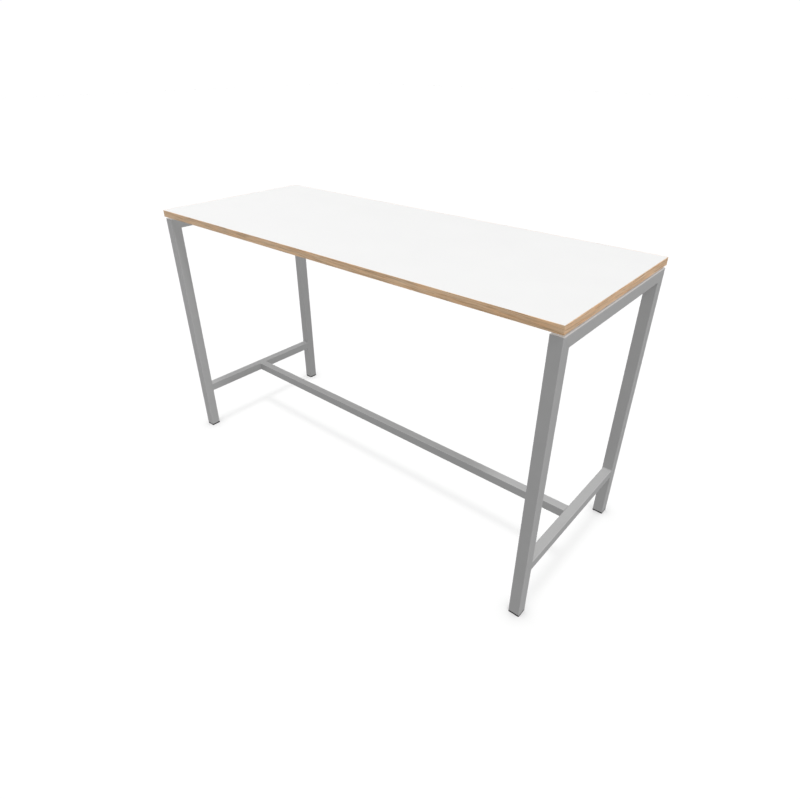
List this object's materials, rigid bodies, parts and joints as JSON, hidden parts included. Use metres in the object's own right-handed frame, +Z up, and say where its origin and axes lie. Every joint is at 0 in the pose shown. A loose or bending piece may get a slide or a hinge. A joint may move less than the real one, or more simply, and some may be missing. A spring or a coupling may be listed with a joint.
{
  "type": "standing meeting table",
  "caption": "Standing-height table with a white oak-edged board on welded square-tube end frames, joined by a low foot rail, on levelling feet.",
  "frame": {"origin": "on the floor, under the middle of the board", "axes": "+X along the table's length to the right end, +Y from the front edge to the rear edge, +Z up"},
  "size_m": [1.8, 0.706, 1.05],
  "materials": {
    "white_laminate": "fine-grained matt white laminate",
    "backer_laminate": "plain matt balancing laminate",
    "chipboard": "raw chipboard",
    "oak_edge": "satin oak-effect edging with the grain along the edge",
    "grey_frame": "satin silver-grey powder coat",
    "zinc": "bright zinc plate",
    "brass_insert": "machined brass",
    "black_plastic": "moulded matt black plastic"
  },
  "bodies": {
    "table": {"board_insert_beam_left": "brass_insert", "board_insert_beam_right": "brass_insert", "board_insert_front_left": "brass_insert", "board_insert_front_right": "brass_insert", "board_insert_rear_left": "brass_insert", "board_insert_rear_right": "brass_insert", "board_screw_beam_left": "zinc", "board_screw_beam_right": "zinc", "board_screw_front_left": "zinc", "board_screw_front_right": "zinc", "board_screw_rear_left": "zinc", "board_screw_rear_right": "zinc", "board_spacer_beam_left": "black_plastic", "board_spacer_beam_right": "black_plastic", "board_spacer_front_left": "black_plastic", "board_spacer_front_right": "black_plastic", "board_spacer_rear_left": "black_plastic", "board_spacer_rear_right": "black_plastic", "cross_rail_left": "grey_frame", "cross_rail_right": "grey_frame", "edge_band_front": "oak_edge", "edge_band_left": "oak_edge", "edge_band_rear": "oak_edge", "edge_band_right": "oak_edge", "foot_rail": "grey_frame", "foot_rail_lock_screw_left": "zinc", "foot_rail_lock_screw_right": "zinc", "foot_rail_spigot_left": "grey_frame", "foot_rail_spigot_right": "grey_frame", "leg_front_left": "grey_frame", "leg_front_right": "grey_frame", "leg_plug_front_left": "black_plastic", "leg_plug_front_right": "black_plastic", "leg_plug_rear_left": "black_plastic", "leg_plug_rear_right": "black_plastic", "leg_rear_left": "grey_frame", "leg_rear_right": "grey_frame", "tabletop_backer": "backer_laminate", "tabletop_core": "chipboard", "tabletop_surface": "white_laminate", "top_beam": "grey_frame", "top_beam_lock_screw_left": "zinc", "top_beam_lock_screw_right": "zinc", "top_beam_spigot_left": "grey_frame", "top_beam_spigot_right": "grey_frame", "upper_rail_left": "grey_frame", "upper_rail_right": "grey_frame"},
    "foot_front_left": {"foot_pad_front_left": "black_plastic"},
    "stud_front_left": {"foot_stud_front_left": "zinc"},
    "foot_rear_left": {"foot_pad_rear_left": "black_plastic"},
    "stud_rear_left": {"foot_stud_rear_left": "zinc"},
    "foot_front_right": {"foot_pad_front_right": "black_plastic"},
    "stud_front_right": {"foot_stud_front_right": "zinc"},
    "foot_rear_right": {"foot_pad_rear_right": "black_plastic"},
    "stud_rear_right": {"foot_stud_rear_right": "zinc"}
  },
  "joints": [
    {"name": "foot_front_left_height", "type": "slide", "parent": "table", "child": "foot_front_left", "axis": [0, 0, -1], "range_m": [0, 0.01]},
    {"name": "stud_front_left_turn", "type": "hinge", "parent": "foot_front_left", "child": "stud_front_left", "pos_m": [-0.88, -0.328, 0], "axis": [0, 0, -1], "range_deg": [-1, 2401]},
    {"name": "foot_rear_left_height", "type": "slide", "parent": "table", "child": "foot_rear_left", "axis": [0, 0, -1], "range_m": [0, 0.01]},
    {"name": "stud_rear_left_turn", "type": "hinge", "parent": "foot_rear_left", "child": "stud_rear_left", "pos_m": [-0.88, 0.328, 0], "axis": [0, 0, -1], "range_deg": [-1, 2401]},
    {"name": "foot_front_right_height", "type": "slide", "parent": "table", "child": "foot_front_right", "axis": [0, 0, -1], "range_m": [0, 0.01]},
    {"name": "stud_front_right_turn", "type": "hinge", "parent": "foot_front_right", "child": "stud_front_right", "pos_m": [0.88, -0.328, 0], "axis": [0, 0, -1], "range_deg": [-1, 2401]},
    {"name": "foot_rear_right_height", "type": "slide", "parent": "table", "child": "foot_rear_right", "axis": [0, 0, -1], "range_m": [0, 0.01]},
    {"name": "stud_rear_right_turn", "type": "hinge", "parent": "foot_rear_right", "child": "stud_rear_right", "pos_m": [0.88, 0.328, 0], "axis": [0, 0, -1], "range_deg": [-1, 2401]}
  ],
  "couplings": [
    {"joint": "stud_front_left_turn", "follows": "foot_front_left_height", "rad_per_m": 4188.8},
    {"joint": "stud_rear_left_turn", "follows": "foot_rear_left_height", "rad_per_m": 4188.8},
    {"joint": "stud_front_right_turn", "follows": "foot_front_right_height", "rad_per_m": 4188.8},
    {"joint": "stud_rear_right_turn", "follows": "foot_rear_right_height", "rad_per_m": 4188.8}
  ]
}
